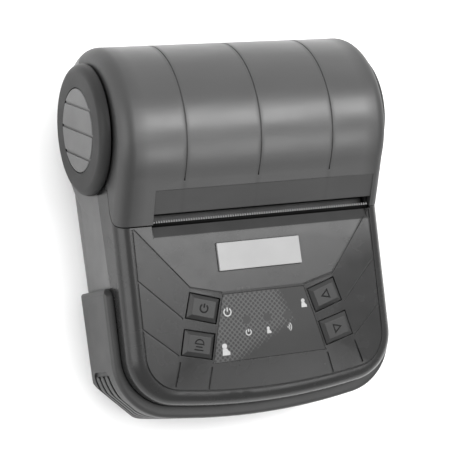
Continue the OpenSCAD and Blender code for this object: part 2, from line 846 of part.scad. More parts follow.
// The lid's flat front, from the seam up to where it meets the round
module lid_front(inset) {
    h = half_w - inset;
    r = lid_edge_r - inset - 0.2;
    on_panel() translate([0, seam_v, 0]) rotate([front_a, 0, 0])
        translate([0, -12, -inset]) along_y(0, front_l + 12) {
            translate([-h, -14]) square([2 * h, 14 - r]);
            translate([r - h, -14]) square([2 * (h - r), 14]);
            for (side = [-1, 1]) translate([side * (h - r), -r]) circle(r);
        }
}

module lid_hollow() {
    difference() {
        union() {
            roll_form(wall, lid_edge_r - wall);
            lid_front(wall);
        }
        // Wall across the lid's front edge
        on_panel() along_x(-60, 60) translate([-9, -9]) square([seam_v + seam + 9 + 1.4, 30]);
    }
}

// Where the lid may be: over its seams with the case
module lid_limits() {
    union() {
        translate([-60, arm_y + seam, part_z + seam]) cube([120, 80, 60]);
        intersection() {
            on_panel() along_x(-60, 60) seam_side(seam);
            translate([-60, -20, part_z + seam]) cube([120, 20 + arm_y + seam + eps, 60]);
        }
    }
}

module hinge_pins() color(steel) both_sides()
    hinge_bar(pin_r, case_barrel[0], case_barrel[1] - 1.6);

// Hub disc on the right; the case's wall carries its lower half
module hub_disc() difference() {
    union() {
        translate([0, hub_y, hub_z]) rotate([0, 90, 0]) rotate_extrude() {
            polygon([
                [0, 0], [hub_r, 0], each corner_arc([hub_r, hub_out],
                    [hub_r, hub_out - hub_edge_r], [hub_r - hub_edge_r, hub_out]),
                [0, hub_out]
            ]);
        }
    }
    translate([-1, -50, -50]) cube([hub_in + 1, 200, 200]);
    translate([hub_in + hub_floor, hub_y, hub_z]) rotate([0, 90, 0])
        cylinder(r = pad_r + pad_clear, h = 10);
    translate([0, hub_y, spring_z]) rotate([0, 90, 0]) cylinder(r = pocket_r, h = 80);
}

// Seat and pegs that hold the hub to the case's wall
module hub_seat() {
    difference() {
        intersection() {
            translate([half_w, hub_y, hub_z]) rotate([0, 90, 0])
                cylinder(r = 18.5, h = hub_in - half_w);
            cube([100, 100, part_z - 0.5]);
        }
        translate([0, hub_y, spring_z]) rotate([0, 90, 0]) cylinder(r = pocket_r, h = 80);
    }
    for (peg = [-1, 1]) translate([half_w - 1.4, hub_y + peg * 11, hub_z - 12])
        rotate([0, 90, 0]) cylinder(r = 1.5, h = 1.5 + hub_in - half_w);
}

module hub() {
    hub_disc();
    hub_seat();
}

module hub_right() color(grey_dark) hub();
module hub_left() color(grey_dark) mirror([1, 0, 0]) hub();

// Release button on the right, with three slanting grooves and a stem in its spring
module release_button() difference() {
    union() {
        translate([hub_out + 0.2 - pad_t, hub_y, hub_z]) rotate([0, 90, 0])
            rotate_extrude() {
                polygon([
                    [0, 0], [pad_r, 0],
                    each corner_arc([pad_r, pad_t], [pad_r, pad_t - 0.5], [pad_r - 0.5, pad_t]),
                    [0, pad_t]
                ]);
            }
        translate([pocket_x + pad_travel + 0.3, hub_y, spring_z]) rotate([0, 90, 0])
            cylinder(r = stem_r, h = hub_out - pocket_x - pad_travel - 1);
    }
    for (i = [-1, 0, 1]) translate([hub_out + 0.2, hub_y, hub_z]) rotate([groove_turn, 0, 0])
        translate([-0.5, -pad_r - 2, i * groove_pitch - 0.45]) cube([2, 2 * pad_r + 4, 0.9]);
}

module release_button_right() color("#6a6b6e") release_button();
module release_button_left() color("#6a6b6e") mirror([1, 0, 0]) release_button();

// Coil spring along Z: one unbroken tube of triangles, with closed ends
module coil(r, wire, height, turns) {
    sides = 6;
    steps = 12;
    rings = turns * steps;
    points = [
        for (i = [0 : rings], j = [0 : sides - 1])
            let (a = i * 360 / steps, b = j * 360 / sides, q = r + wire * cos(b))
            [q * cos(a), q * sin(a), wire + (height - 2 * wire) * i / rings + wire * sin(b)]
    ];
    faces = [
        for (i = [0 : rings - 1], j = [0 : sides - 1])
            let (a = i * sides + j, b = i * sides + (j + 1) % sides)
            each [[a, a + sides, b], [b, a + sides, b + sides]],
        for (j = [1 : sides - 2]) each [
            [0, j, j + 1],
            [rings * sides, rings * sides + j + 1, rings * sides + j]
        ]
    ];
    polyhedron(points, faces);
}

module release_spring() translate([pocket_x, hub_y, spring_z]) rotate([0, 90, 0])
    coil(2.45, 0.3, hub_out + 0.2 - pad_t - pocket_x, 4);

module release_spring_right() color(steel) release_spring();
module release_spring_left() color(steel) mirror([1, 0, 0]) release_spring();

module main_board() color("#2f5d3a") difference() {
    union() {
        translate([-14, -54.6, main_board_z]) cube([51.5, 46.6, board_t]);
        translate([37, socket_y - 5.5, main_board_z]) cube([9.6, 11, board_t]);
    }
    for (at = board_post_at) translate([at.x, at.y, main_board_z - 1]) cylinder(r = 0.9, h = 4);
}

module board_chips() color(black) translate([0, 0, main_board_z + board_t]) {
    translate([-4, -44, 0]) cube([12, 12, 1.4]);
    translate([18, -46, 0]) cube([9, 6, 1.2]);
    translate([14, -30, 0]) cube([7, 7, 1.6]);
    translate([27, -26, 0]) cube([8, 8, 3]);
    translate([-8, -18.5, 0]) cube([22, 4, 2.4]);
    translate([30, -38, 0]) cylinder(r = 2.5, h = 2);
}

module data_socket() color(steel) difference() {
    translate([half_w - 9.5, socket_y - 4.5, main_board_z + board_t]) cube([8.5, 9, 3.2]);
    translate([half_w - 7.5, socket_y - 4.1, main_board_z + board_t + 0.4]) cube([10, 8.2, 2.4]);
}

// Flat ribbon from the print head's back, through the frame, to the main board's connector
module head_cable() color("#d9cfa8") {
    t = 0.3;
    a = panel_point([head_back - 0.06, ribbon_n]);
    b = panel_point([-8, ribbon_n]);
    c = [b.x - 2.5, main_board_z + board_t + 1.2];
    d = [-14.5, c.y];
    along_x(-4, 12) polygon([
        a, b, c, d, d + [0, t], c + [0, t], b + [0, t], a + [0, t]
    ]);
}

// Side view of a point of the panel's frame in the part's frame
function panel_point(p) = [
    tear_y + p.x * tilt_c - p.y * tilt_s, tear_z + p.x * tilt_s + p.y * tilt_c
];

module battery_pack() color("#2a5fa0") {
    for (y = [battery_front + cell_r, battery_back - cell_r])
        translate([-cell_l / 2, y, floor_t + cell_r])
        rotate([0, 90, 0]) cylinder(r = cell_r, h = cell_l);
    translate([1 - cell_l / 2, battery_front + 2 * cell_r - 6, floor_t + 3.2])
        cube([cell_l - 2, 12 + cell_space, 2 * cell_r - 6.4]);
}

// Door of the battery room, with two ribs that bear the cells and five finger dents
module battery_door() color(grey_case) difference() {
    union() {
        translate([door_gap - door_half, door_front + door_gap, 0])
            cube([2 * (door_half - door_gap), door_back - door_front - 2 * door_gap, wall]);
        for (x = [-20, 18], y = [1, 3]) translate([x, battery_front + y * cell_r - 3, wall - eps])
            cube([2, 6, floor_t - wall + eps]);
    }
    for (i = [0 : 4]) translate([-13.5 + 6 * i, door_back - 4.5, -1]) cube([3, 3, 1.5]);
    both_sides() translate([door_screw_at.x, door_screw_at.y, -1]) {
        cylinder(r = door_screw_r + 0.2, h = 5);
        cylinder(r = 2.1, h = 2.1);
    }
}

module door_screws() color(steel) both_sides() translate([door_screw_at.x, door_screw_at.y, 0]) {
    translate([0, 0, 0.1]) cylinder(r = 1.9, h = 1);
    translate([0, 0, 1]) cylinder(r = door_screw_r, h = 5);
}

module case_screws() color(steel) for (at = case_screw_at) both_sides() {
    translate([at.x, at.y, 3]) cylinder(r = 2.5, h = 1.5);
    translate([at.x, at.y, 4]) cylinder(r = case_screw_r, h = case_screw_top - 4);
}

module frame_screws() color(steel) frame_post_places() {
    translate([0, 0, 1.2]) cylinder(r = 1.9, h = 1.2);
    translate([0, 0, -7]) cylinder(r = 0.85, h = 8.3);
}

// Print frame: floor, back bar with the tear bar's seat, two side plates, two gear posts
module print_frame() color(steel) on_panel() difference() {
    union() {
        translate([left_plate, -6.5, frame_floor])
            cube([right_plate + plate_t - left_plate, 8.8, 1.2]);
        translate([left_plate, -6.5, frame_floor])
            cube([right_plate + plate_t - left_plate, 1.2, 16.4]);
        tear_frame() translate([slot_left, -8.6, -tear_t - 1.2])
            cube([slot_right - slot_left, 5.2, 1.2]);
        along_x(left_plate, left_plate + plate_t) {
            side_plate();
            motor_mount();
        }
        along_x(right_plate, right_plate + plate_t) side_plate();
        for (at = [lower_at, upper_at]) post(at, 1, gear_x - 0.4);
        post(upper_at, 1.9, gear_x + gear_t + 0.1);
        post(lower_at, 1.9, gear_x + gear_t + 0.1);
    }
    translate([0, platen_at.x, platen_at.y]) lid_track(bush_r + 0.1);
    translate([-5, -9, ribbon_n - 1]) cube([18, 6, 2.3]);
    head_pivot(0.85, left_plate - 1, right_plate + plate_t + 1);
    translate([left_plate - 1, motor_at.x, motor_at.y]) rotate([0, 90, 0])
        cylinder(r = 3.05, h = 4);
    translate([left_plate + plate_t, motor_at.x, motor_at.y]) rotate([0, 90, 0])
        cylinder(r = motor_r + 0.3, h = motor_l + 0.3);
    for (at = frame_post_at) translate([at.x, at.y, frame_floor - 1]) cylinder(r = 1, h = 4);
}

module post(at, r, x0) {
    translate([x0, at.x, at.y]) rotate([0, 90, 0]) cylinder(r = r, h = left_plate + 0.1 - x0);
}

module side_plate() {
    polygon([
        [-6.5, frame_floor], [3.4, frame_floor], [5.5, -19], [7.5, -16], [12, -12.8],
        [12, -4.4], [11.2, -3.1], [-6.5, -3.1]
    ]);
}

module motor_mount() {
    translate(motor_at) circle(9);
    polygon([
        [-6.4, frame_floor + 1], [motor_at.x, motor_at.y - 9], [motor_at.x, motor_at.y + 9],
        [-6.4, motor_at.y + 9]
    ]);
    translate(lower_at) circle(3);
}

// The open slot that the platen's bush drops into along the lid's path
module lid_track(r) {
    rotate([0, 90, 0]) translate([0, 0, -60]) cylinder(r = r, h = 120);
    rotate([lift_a + 90, 0, 0]) translate([-60, -r - 0.2, 0]) cube([120, 2 * r + 0.4, 30]);
}

tear_a = 40;
tear_tip = [0.25, -0.25];
// Frame of the tear bar: y toward its teeth, z out of it
module tear_frame() {
    translate([0, tear_tip.x, tear_tip.y]) rotate([tear_a, 0, 0]) children();
}

module tear_bar() color("#c9ccd0") on_panel() tear_frame() translate([0, 0, -tear_t])
    linear_extrude(tear_t) tear_outline();

module tear_outline() {
    x0 = slot_left + 0.3;
    x1 = slot_right - 0.3;
    count = floor((x1 - x0) / tear_pitch);
    step = (x1 - x0) / count;
    depth = 0.7;
    polygon([
        [x0, -7.5],
        for (i = [0 : count - 1]) each [
            [x0 + i * step, -depth], [x0 + (i + 0.5) * step, 0]
        ],
        [x1, -depth], [x1, -7.5]
    ]);
}

head_face = platen_at.x - platen_r - 0.1;
head_t = 4;
head_back = head_face - head_t;
head_foot = -19;
ribbon_n = head_foot + 0.6;
module print_head() color("#8e9196") on_panel() {
    along_x(slot_left + 1, slot_right - 1) polygon([
        [head_back, head_foot], [head_face - 0.8, head_foot], [head_face - 0.8, -12],
        [head_face, -12], [head_face, -3.8], [head_back + 1.6, -3.8], [head_back, -5.6]
    ]);
    head_pivot(0.8, left_plate + 0.2, right_plate + plate_t - 0.2);
}

// Pin that the head tilts on, in the frame's side plates
module head_pivot(r, x0, x1) {
    translate([x0, head_back + 2, head_foot + 2]) rotate([0, 90, 0]) cylinder(r = r, h = x1 - x0);
}

module head_springs() color(steel) on_panel() for (x = [-20, 4, 28])
    translate([x, -5.3, -9]) rotate([-90, 0, 0]) coil(1.6, 0.25, head_back + 5.3, 3);

module paper_sensor() color(black) on_panel()
    translate([1, head_face - 0.8, -13.8]) cube([6, 1.8, 1.7]);

module stepper_motor() color(steel) on_panel() translate([left_plate + plate_t, motor_at.x, motor_at.y])
    rotate([0, 90, 0]) difference() {
        union() {
            cylinder(r = motor_r, h = motor_l);
            translate([0, 0, -plate_t]) cylinder(r = 3, h = plate_t + 1);
        }
        translate([0, 0, -2]) cylinder(r = 1 + run, h = 12);
    }

// Involute gear teeth
function inv(a) = tan(a) * 180 / PI - a;
function flank(r, base, pitch_r, half) = half + inv(acos(base / pitch_r)) - inv(acos(min(1, base / r)));
module gear_outline(teeth) {
    pitch_r = gear_module * teeth / 2;
    base = pitch_r * cos(20);
    tip = pitch_r + 0.9 * gear_module;
    root = pitch_r - 1.2 * gear_module;
    half = 90 / teeth - backlash / 4 / pitch_r * 180 / PI;
    start = max(base, root + 0.02);
    radii = [root, for (i = [0 : 4]) start + (tip - start) * i / 4];
    polygon([
        for (t = [0 : teeth - 1]) each [
            for (r = radii) let (a = t * 360 / teeth - flank(max(r, base), base, pitch_r, half))
                r * [cos(a), sin(a)],
            for (k = [len(radii) - 1 : -1 : 0]) let (r = radii[k],
                a = t * 360 / teeth + flank(max(r, base), base, pitch_r, half))
                r * [cos(a), sin(a)]
        ]
    ]);
}

// Gear in the drive's plane, turned into mesh, with a bore
module drive_gear(at, teeth, turn, bore) on_panel() translate([gear_x, at.x, at.y])
    rotate([90, 0, 90]) difference() {
        linear_extrude(gear_t) rotate(turn) gear_outline(teeth);
        translate([0, 0, -1]) cylinder(r = bore, h = gear_t + 2);
    }

module idler_gear_lower() color("#e6e3d8") drive_gear(lower_at, lower_teeth, lower_turn, 1 + run);
module idler_gear_upper() color("#e6e3d8") drive_gear(upper_at, upper_teeth, upper_turn, 1 + run);
module platen_gear() color("#e6e3d8") drive_gear(platen_at, platen_teeth, platen_turn, shaft_r);
module motor_pinion() color(brass) {
    drive_gear(motor_at, pinion_teeth, pinion_turn, 1);
    on_panel() translate([gear_x - 0.6, motor_at.x, motor_at.y]) rotate([0, 90, 0])
        cylinder(r = 1, h = left_plate + plate_t + 9 - gear_x);
}

holder_left = left_plate - 0.4 - 1.3;
holder_right = right_plate + plate_t + 0.2;
arm_t = 1.3;
right_arm_t = 0.8;
end_drop = 2.8;
module platen_holder() color(black) on_panel() difference() {
    union() {
        along_x(holder_left, half_w - lid_edge_r) holder_bar(0);
        along_x(half_w - lid_edge_r - 0.15, holder_right + right_arm_t) holder_bar(end_drop);
        along_x(holder_left, holder_left + arm_t) holder_arm();
        along_x(holder_right, holder_right + right_arm_t) holder_arm();
    }
    translate([-60, platen_at.x, platen_at.y]) rotate([0, 90, 0])
        cylinder(r = bush_r + 0.01, h = 120);
    // Clears the frame's side plates
    for (x0 = [left_plate, right_plate]) along_x(x0 - 0.2, x0 + plate_t + 0.2)
        translate([-10, -20]) square([40, 20 + holder_low - 1]);
}

// Height of the lid's inner face over the panel, along its flat front
function chin_n(v) = (v - seam_v) * tan(front_a) - wall / cos(front_a);

holder_front = 3.4;
holder_back = 11;
holder_low = -0.9;
module holder_bar(drop) {
    polygon([
        [holder_front, holder_low - drop], [holder_back, holder_low - drop],
        [holder_back, chin_n(holder_back) - drop], [holder_front, chin_n(holder_front) - drop]
    ]);
}

module holder_arm() {
    translate(platen_at) circle(bush_r + 1);
    polygon([
        platen_at - [bush_r + 1, 0], platen_at + [bush_r + 1, 0],
        [holder_back, holder_low + 1], [holder_front, holder_low - end_drop + 0.9]
    ]);
}

module platen_shaft() color(steel) on_panel()
    translate([gear_x - 0.8, platen_at.x, platen_at.y]) rotate([0, 90, 0])
    cylinder(r = shaft_r, h = holder_right + right_arm_t - gear_x);

module platen_rubber() color(black) on_panel()
    translate([slot_left + 0.8, platen_at.x, platen_at.y]) rotate([0, 90, 0]) difference() {
        cylinder(r = platen_r, h = slot_right - slot_left - 1.6);
        translate([0, 0, -1]) cylinder(r = shaft_r, h = 100);
    }

module platen_bushes() color("#d8d4c4") on_panel() {
    bush(holder_left, left_plate + plate_t + 0.3 - holder_left);
    bush(right_plate - 0.3, holder_right + right_arm_t - right_plate + 0.3);
}

module bush(x0, l) {
    translate([x0, platen_at.x, platen_at.y]) rotate([0, 90, 0]) difference() {
        cylinder(r = bush_r, h = l);
        translate([0, 0, -1]) cylinder(r = shaft_r + run, h = l + 2);
    }
}

lower_case();
upper_case();
front_bumper();
lid();
hinge_pins();
hub_left();
hub_right();
release_button_left();
release_button_right();
release_spring_left();
release_spring_right();
badge_plate();
control_window();
key_power();
key_feed();
key_back();
key_forward();
key_switches();
key_board();
indicator_lamps();
main_board();
board_chips();
data_socket();
head_cable();
battery_pack();
battery_door();
door_screws();
case_screws();
frame_screws();
print_frame();
print_head();
head_springs();
tear_bar();
paper_sensor();
stepper_motor();
motor_pinion();
idler_gear_lower();
idler_gear_upper();
platen_holder();
platen_shaft();
platen_rubber();
platen_bushes();
platen_gear();
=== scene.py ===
import math

import bmesh
import bpy
from mathutils import Matrix, Vector


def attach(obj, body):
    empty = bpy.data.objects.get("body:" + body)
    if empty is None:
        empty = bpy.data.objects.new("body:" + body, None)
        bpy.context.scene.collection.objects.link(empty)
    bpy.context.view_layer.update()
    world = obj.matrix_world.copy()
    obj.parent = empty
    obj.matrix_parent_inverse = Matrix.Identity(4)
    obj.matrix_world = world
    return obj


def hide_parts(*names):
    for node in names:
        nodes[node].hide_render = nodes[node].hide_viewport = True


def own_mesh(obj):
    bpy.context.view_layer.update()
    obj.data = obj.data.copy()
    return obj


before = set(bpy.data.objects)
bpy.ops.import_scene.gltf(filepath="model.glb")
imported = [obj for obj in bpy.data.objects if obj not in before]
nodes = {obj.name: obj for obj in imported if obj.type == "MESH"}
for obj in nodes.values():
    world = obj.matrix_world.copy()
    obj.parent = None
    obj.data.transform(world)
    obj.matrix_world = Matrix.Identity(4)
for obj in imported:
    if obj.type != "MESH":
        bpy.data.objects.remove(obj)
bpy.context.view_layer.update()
scene = bpy.context.scene

MM = 0.001


def rot(deg, axis):
    return Matrix.Rotation(math.radians(deg), 4, axis)


def shift(x, y, z):
    return Matrix.Translation((x, y, z))


# Places on the part, in millimetres and degrees. The panel's frame has x across the panel,
# y up it from the tear edge and z out of it. Its y is called v where the part's own y is near.
TILT = 5
TEAR = (0.0, 1.636498, 44.233482)
PANEL = shift(*TEAR) @ rot(TILT, "X")
SLOT_MIDDLE, SLOT_HALF = 4.0, 41.0
# Lower end of the matt band under the paper slot, and upper end of the band on the lid over it
MATT_FROM, EXIT_TOP = -5.2, 9.9
# Teeth of the tear bar: pitch, left end of the first one and the v that they are bright over
TOOTH_PITCH, TOOTH_FIRST, TOOTH_ROOT = 0.9044, -36.7, -0.3
LID_LINES = (-27.0, 0.0, 27.0)
# Keys of the left side: x and y of the middle, and turn
KEY_UPPER = (-22.9, -29.8, -16.5)
KEY_LOWER = (-25.9, -41.5, -14.0)
KEY_TOP, WINDOW_TOP = 2.1, 1.3
# Lamp discs of the window: middle of the middle one, spacing and radius
LAMP_X, LAMP_V, LAMP_PITCH, LAMP_R = 0.2, -35.2, 7.6, 1.45
LATTICE_PITCH = 1.25
RIBBON_PITCH = 1.0

# Camera fitted to the photo, whose side has 450 pixels: focal length and centre in pixels, and
# the camera's axes (right, down, ahead) and place in the panel's frame
PIXELS, FOCAL, CENTRE = 450, 1622.625, (225.36, 225.08)
CAMERA_AXES = (
    (0.90240007, -0.10848956, 0.41701814),
    (-0.08348445, -0.99346733, -0.0778011),
    (0.42273451, 0.03539319, -0.90556218),
)
CAMERA_AT = (-240.67824813, -22.22382862, 492.22264643)
SENSOR = 36


def place_camera():
    cam = bpy.data.cameras.new("camera")
    cam.sensor_width = SENSOR
    cam.lens = FOCAL * SENSOR / PIXELS
    cam.shift_x = (PIXELS / 2 - CENTRE[0]) / PIXELS
    cam.shift_y = (CENTRE[1] - PIXELS / 2) / PIXELS
    cam.clip_start, cam.clip_end = 0.01, 20
    turn = rot(TILT, "X").to_3x3() @ Matrix(CAMERA_AXES).transposed()
    right, down, ahead = turn.col
    place = Matrix((right, -down, -ahead)).transposed().to_4x4()
    place.translation = PANEL @ Vector(CAMERA_AT) * MM
    obj = bpy.data.objects.new("camera", cam)
    scene.collection.objects.link(obj)
    obj.matrix_world = place
    scene.camera = obj


place_camera()


def rgba(c):
    """A grey from one number, or a colour from three."""
    return (c, c, c, 1) if isinstance(c, (int, float)) else (*c, 1)


class Nodes:
    """A node tree with short ways to add to it. A value is a number, a colour or a socket."""

    def __init__(self, tree):
        self.tree = tree

    def feed(self, value, socket):
        if isinstance(value, bpy.types.NodeSocket):
            self.tree.links.new(value, socket)
        elif socket.type == "RGBA":
            socket.default_value = rgba(value)
        else:
            socket.default_value = value

    def add(self, kind, sockets, **settings):
        n = self.tree.nodes.new(kind)
        for name, value in settings.items():
            setattr(n, name, value)
        for key, value in sockets.items():
            self.feed(value, n.inputs[key])
        return n

    def calc(self, op, a, b=0.0, c=0.0, clamp=False):
        n = self.add("ShaderNodeMath", {0: a, 1: b, 2: c}, operation=op, use_clamp=clamp)
        return n.outputs[0]

    def rise(self, value, start, slope):
        """Goes up (or down, with a negative slope) from 0 at start, within 0 and 1."""
        return self.calc("MULTIPLY_ADD", value, slope, -start * slope, clamp=True)

    def mix(self, fac, a, b, blend="MIX"):
        n = self.add("ShaderNodeMix", {}, data_type="RGBA", blend_type=blend, clamp_factor=True)
        for value, place in ((fac, 0), (a, 6), (b, 7)):
            self.feed(value, n.inputs[place])
        return n.outputs[2]

    def ramp(self, fac, stops):
        n = self.add("ShaderNodeValToRGB", {"Fac": fac})
        els = n.color_ramp.elements
        while len(els) < len(stops):
            els.new(0.5)
        for e, (p, c) in zip(els, stops):
            e.position = p
            e.color = rgba(c)
        return n.outputs["Color"]

    def between(self, fac, dark, light, spread=0.2):
        """From dark to light over the middle of a noise's range."""
        return self.ramp(fac, [(0.5 - spread, dark), (0.5 + spread, light)])


class Surface(Nodes):
    """A material with object coordinates, a colour, a roughness and a stack of bumps."""

    def __init__(self, name, metallic=0.0, specular=0.5):
        self.mat = bpy.data.materials.new(name)
        self.mat.use_nodes = True
        super().__init__(self.mat.node_tree)
        self.bsdf = self.tree.nodes["Principled BSDF"]
        self.feed(metallic, self.bsdf.inputs["Metallic"])
        self.feed(specular, self.bsdf.inputs["Specular IOR Level"])
        self.coord = self.add("ShaderNodeTexCoord", {}).outputs["Object"]
        self.xyz = self.add("ShaderNodeSeparateXYZ", {0: self.coord}).outputs
        self.normal = None

    def panel(self):
        """Millimetres across the control panel and up it."""
        x = self.calc("MULTIPLY", self.xyz["X"], 1 / MM)
        c, d = math.cos(math.radians(TILT)), math.sin(math.radians(TILT))
        v = self.calc("MULTIPLY_ADD", self.xyz["Y"], c / MM, -c * TEAR[1] - d * TEAR[2])
        return x, self.calc("MULTIPLY_ADD", self.xyz["Z"], d / MM, v)

    def noise(self, scale, detail, rough=0.5, stretch=None):
        """Cloudy noise with scale cells to the metre, times stretch along each axis."""
        coord = self.coord
        if stretch:
            sockets = {"Vector": coord, "Scale": stretch}
            coord = self.add("ShaderNodeMapping", sockets).outputs["Vector"]
        sockets = {"Scale": scale, "Detail": detail, "Roughness": rough, "Vector": coord}
        return self.add("ShaderNodeTexNoise", sockets).outputs["Fac"]

    def wander(self, low, amount, scale, detail, rough=0.5):
        """A roughness that goes up from low by an amount in places."""
        return self.calc("MULTIPLY_ADD", self.noise(scale, detail, rough), amount, low)

    def crevice(self, colour, depth, dark=0.3):
        """Paints shade into a colour: darkens it in grooves and corners narrower than depth."""
        n = self.add("ShaderNodeAmbientOcclusion", {"Distance": depth * MM}, samples=4)
        shade = self.mix(self.rise(n.outputs["AO"], 0.375, 1.6), dark, 1.0)
        return self.mix(1.0, colour, shade, blend="MULTIPLY")

    def soft_edges(self, radius):
        """Rounds the shading over sharp moulded edges, and gives a mask of those edges."""
        n = self.add("ShaderNodeBevel", {"Radius": radius * MM}, samples=6)
        self.normal = n.outputs["Normal"]
        true_normal = self.add("ShaderNodeNewGeometry", {}).outputs["Normal"]
        d = self.add("ShaderNodeVectorMath", {}, operation="DOT_PRODUCT")
        self.feed(self.normal, d.inputs[0])
        self.feed(true_normal, d.inputs[1])
        away = self.calc("SUBTRACT", 1.0, d.outputs["Value"])
        return self.calc("MULTIPLY", away, 6.0, clamp=True)

    def bump(self, height, depth):
        sockets = {"Height": height, "Distance": depth * MM, "Strength": 1.0}
        if self.normal is not None:
            sockets["Normal"] = self.normal
        self.normal = self.add("ShaderNodeBump", sockets).outputs["Normal"]

    def finish(self, colour, rough):
        self.feed(colour, self.bsdf.inputs["Base Color"])
        self.feed(rough, self.bsdf.inputs["Roughness"])
        if self.normal is not None:
            self.feed(self.normal, self.bsdf.inputs["Normal"])
        return self.mat


def moulded(name, tone, rough, grain=0.012, pitch=0.35, edge=0.25, wear=1.6, specular=0.5,
            spread=0.12, painted_shade_depth=0.0, slot_matt=False):
    """Moulded plastic: a faint cloud in its tone, fine spark-eroded grain, rubbed edges and,
    where a depth is given, painted shade in grooves and corners narrower than it.
    """
    s = Surface(name, specular=specular)
    rim = s.soft_edges(edge)
    base = s.between(s.noise(60, 4), tone * (1 - spread), tone * (1 + spread))
    rub = s.calc("MULTIPLY", rim, s.noise(900, 2))
    colour = s.mix(s.calc("MULTIPLY", rub, 0.9, clamp=True), base, tone * wear)
    # Painted shade: darkens the colour in grooves and corners narrower than the given depth
    if painted_shade_depth:
        colour = s.crevice(colour, painted_shade_depth)
    s.bump(s.noise(1 / (pitch * MM), 3, 0.6), grain)
    worn = s.wander(rough - 0.08, 0.16, 140, 5)
    if slot_matt:
        x, v = s.panel()
        band = s.calc("MULTIPLY", s.rise(v, MATT_FROM, 3.0),
                      s.calc("COMPARE", x, SLOT_MIDDLE, SLOT_HALF + 0.2))
        worn = s.calc("MULTIPLY_ADD", band, 0.4, worn)
    return s.finish(colour, worn)


def metal(name, colour, rough, brushed=(1, 1, 1)):
    """Metal with fine lines, which are drawn out along an axis where brushed is low."""
    s = Surface(name, metallic=1.0)
    s.soft_edges(0.08)
    lines = s.noise(900, 4, stretch=brushed)
    s.bump(lines, 0.004)
    tint = s.between(lines, tuple(c * 0.82 for c in colour), colour, spread=0.15)
    return s.finish(tint, s.wander(rough - 0.08, 0.16, 200, 4))


def mottled(name, cloud, dark, light, depth, rough, specular=0.5, edge=0.0):
    """A surface whose colour and bumps follow one noise."""
    s = Surface(name, specular=specular)
    if edge:
        s.soft_edges(edge)
    height = s.noise(**cloud)
    s.bump(height, depth)
    return s.finish(s.between(height, dark, light), s.wander(*rough))


def lid_plastic():
    """Glossy smoked lid, a little wavy, with painted light: a painted reflection makes it paler
    low at its front, and painted shade darkens its ends, bands along its three lines and its
    grooves; its ends are also duller.
    """
    s = Surface("lid_plastic", specular=0.6)
    rim = s.soft_edges(0.35)
    x, v = s.panel()
    # Painted reflection: the lid's colour is paler low at its front, outside the band over the
    # paper slot
    exit_band = s.calc("MULTIPLY", s.calc("LESS_THAN", v, EXIT_TOP),
                       s.calc("COMPARE", x, SLOT_MIDDLE, SLOT_HALF))
    low = s.calc("SUBTRACT", s.rise(v, 34.17, -0.12), exit_band, clamp=True)
    # Painted shade: the colour gets darker towards the lid's ends, which are also made duller
    ends = s.rise(s.calc("ABSOLUTE", x), 40.0, 0.16)
    # Painted shade: soft dark bands along the three lines across the lid, which are also made
    # duller
    off = [s.calc("ABSOLUTE", s.calc("ADD", x, -line)) for line in LID_LINES]
    near = s.calc("MINIMUM", s.calc("MINIMUM", off[0], off[1]), off[2])
    fade = s.rise(near, 1.57, -0.7)

    base = s.between(s.noise(45, 4, stretch=(0.5, 1, 1)), 0.015, 0.022)
    # Painted reflection makes the low front paler, and painted shade makes the ends darker
    base = s.mix(ends, s.mix(low, base, 0.034), 0.007)
    colour = s.mix(s.calc("MULTIPLY", rim, 0.35, clamp=True), base, 0.04)
    # Painted shade along the three lines
    colour = s.mix(s.calc("MULTIPLY", fade, 0.45), colour, 0.009)
    # Painted shade in the lid's grooves and corners
    colour = s.crevice(colour, 0.8, dark=0.75)

    s.bump(s.rise(near, 0.0, 0.4), 0.018)
    s.bump(s.noise(60, 2, 0.4, stretch=(0.35, 1, 1)), 0.3)
    s.bump(s.noise(420, 2, 0.4, stretch=(0.12, 1, 1)), 0.012)
    s.bump(s.noise(2400, 2), 0.004)

    rough = s.wander(0.23, 0.24, 40, 6, 0.6)
    rough = s.calc("MULTIPLY_ADD", ends, 0.16, rough)
    rough = s.calc("MULTIPLY_ADD", fade, 0.15, rough)
    return s.finish(colour, rough)


def window_film():
    """Dark smoked cover: a fine lattice on its left part and three dim lamp discs."""
    s = Surface("window_film", specular=0.27)
    s.soft_edges(0.2)
    x, v = s.panel()
    turn = math.pi / LATTICE_PITCH * math.sqrt(0.5)

    def wave(way):
        t = s.calc("MULTIPLY_ADD", v, turn * way, s.calc("MULTIPLY", x, turn))
        return s.calc("ABSOLUTE", s.calc("SINE", t))

    def beyond(px, pv, nx, nv):
        """Distance past the line through (px, pv), toward (nx, nv)."""
        t = s.calc("MULTIPLY_ADD", x, nx, -px * nx - pv * nv)
        return s.calc("MULTIPLY_ADD", v, nv, t)

    cell = s.calc("MULTIPLY", wave(1), wave(-1))
    inside = s.calc("MINIMUM", beyond(6.5, -26.3, -0.924, -0.381),
                    beyond(11.0, -37.2, -0.47, 0.883))
    line = s.calc("LESS_THAN", cell, s.calc("MULTIPLY", s.rise(inside, 0.0, 0.3), 0.42))
    colour = s.mix(s.calc("MULTIPLY", line, 0.9), s.between(s.noise(70, 3), 0.012, 0.015), 0.048)

    along = s.calc("ADD", x, -LAMP_X)
    across = s.calc("WRAP", along, LAMP_PITCH / 2, -LAMP_PITCH / 2)
    up = s.calc("ADD", v, -LAMP_V)
    far = s.calc("MULTIPLY_ADD", across, across, s.calc("MULTIPLY", up, up))
    disc = s.calc("MULTIPLY", s.calc("LESS_THAN", far, LAMP_R ** 2),
                  s.calc("LESS_THAN", s.calc("ABSOLUTE", along), LAMP_PITCH * 1.5))
    colour = s.mix(disc, colour, 0.019)
    s.bump(s.noise(1800, 2), 0.003)
    return s.finish(colour, s.wander(0.36, 0.1, 120, 4))


